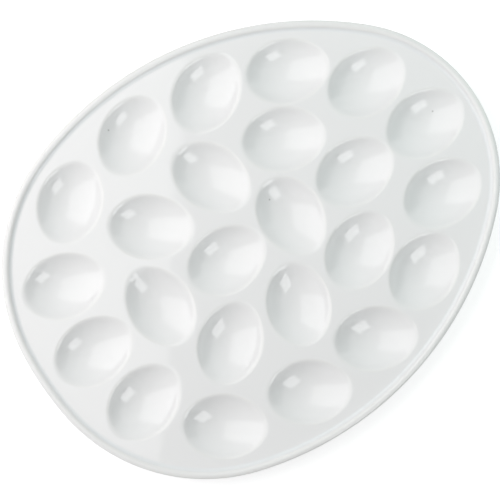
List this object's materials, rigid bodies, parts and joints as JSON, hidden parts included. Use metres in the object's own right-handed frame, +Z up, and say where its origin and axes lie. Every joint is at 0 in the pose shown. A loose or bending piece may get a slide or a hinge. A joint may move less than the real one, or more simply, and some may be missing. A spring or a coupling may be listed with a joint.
{
  "type": "deviled egg platter",
  "caption": "Egg-shaped white porcelain serving platter with rows of egg-shaped hollows, a rounded bead rim and a bare foot ring.",
  "frame": {"origin": "under the middle of the platter, on the surface that its foot ring stands on", "axes": "+X along the length towards the pointed end, +Y across the width, +Z up out of the hollows"},
  "size_m": [0.381, 0.3048, 0.0217],
  "materials": {
    "glazed_porcelain": "white porcelain under a clear gloss glaze",
    "bare_porcelain": "wiped bare of glaze, matt and slightly warm"
  },
  "bodies": {
    "root": {"platter_body": "glazed_porcelain", "foot_ring": "bare_porcelain"}
  },
  "joints": []
}
